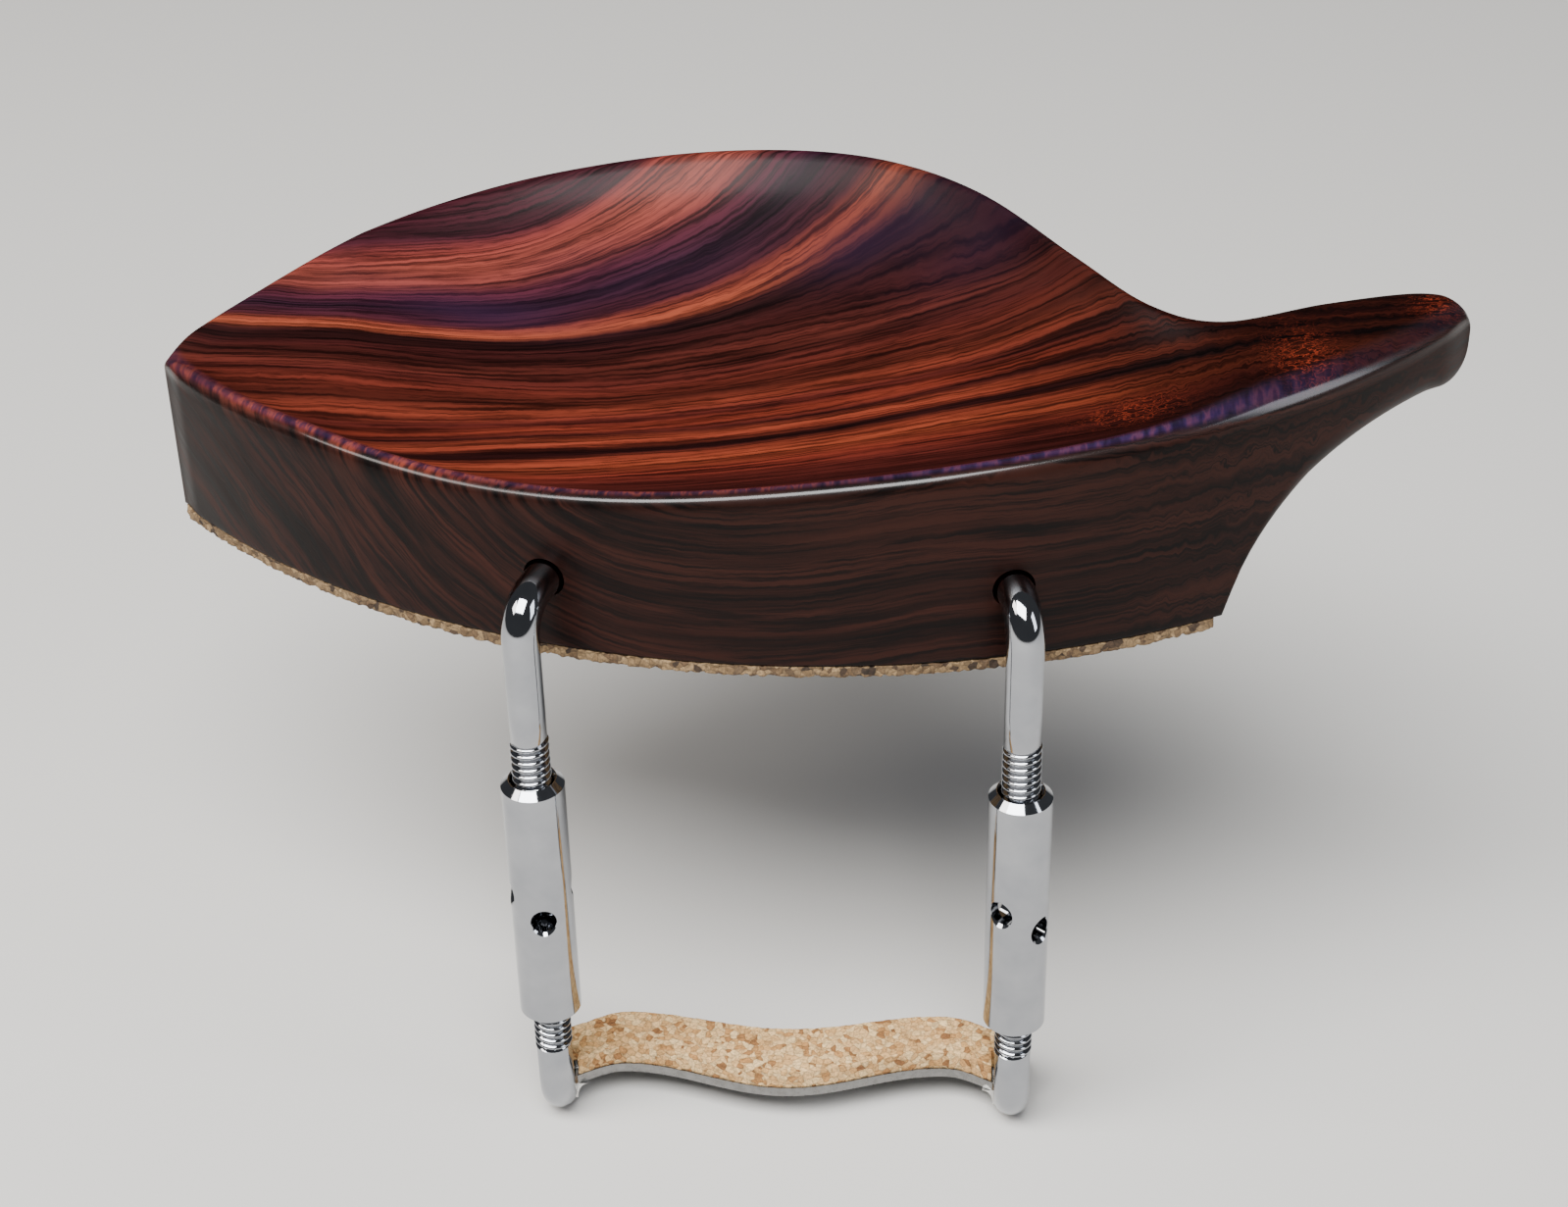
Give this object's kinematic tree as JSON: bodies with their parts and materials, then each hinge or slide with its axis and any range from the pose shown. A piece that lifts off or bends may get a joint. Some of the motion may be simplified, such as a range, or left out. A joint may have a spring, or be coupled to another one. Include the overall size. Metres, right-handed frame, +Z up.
{
  "type": "violin chin rest",
  "caption": "Carved hardwood chin rest with a chin cup, an arm over the tailpiece and a cork-lined two-legged screw clamp.",
  "frame": {"origin": "on the belly seat, the underside of the plate's cork, 8 mm behind the clamp's two legs and midway between them", "axes": "+X along the clamp towards the arm, +Y in over the instrument's belly, +Z up, away from the belly seat"},
  "size_m": [0.1132, 0.0605, 0.0715],
  "materials": {
    "rosewood": "carved, oiled and polished figured rosewood",
    "sheet_cork": "thin sheet cork, cut edge",
    "granulated_cork": "granulated cork, sanded",
    "chrome": "bright chromed steel",
    "plated_bar": "plated steel strip, satin",
    "solder": "dull silver solder"
  },
  "bodies": {
    "plate": {"chin_plate": "rosewood", "plate_cork": "sheet_cork", "hook_left": "chrome", "hook_right": "chrome"},
    "barrel_l": {"barrel_left": "chrome"},
    "barrel_r": {"barrel_right": "chrome"},
    "foot": {"leg_left": "chrome", "leg_right": "chrome", "foot_bar": "plated_bar", "foot_cork": "granulated_cork", "braze_left": "solder", "braze_right": "solder"}
  },
  "joints": [
    {"name": "clamp_close", "type": "slide", "parent": "plate", "child": "foot", "axis": [0, 0, 1], "range_m": [-0.0035, 0.0028]},
    {"name": "left_barrel_turn", "type": "hinge", "parent": "plate", "child": "barrel_l", "pos_m": [-0.0205, -0.008, -0.022], "axis": [0, 0, 1], "range_deg": [-900, 720]},
    {"name": "right_barrel_turn", "type": "hinge", "parent": "plate", "child": "barrel_r", "pos_m": [0.0205, -0.008, -0.022], "axis": [0, 0, 1], "range_deg": [-900, 720]}
  ],
  "couplings": [
    {"joint": "left_barrel_turn", "follows": "clamp_close", "rad_per_m": 4488},
    {"joint": "right_barrel_turn", "follows": "clamp_close", "rad_per_m": 4488}
  ]
}
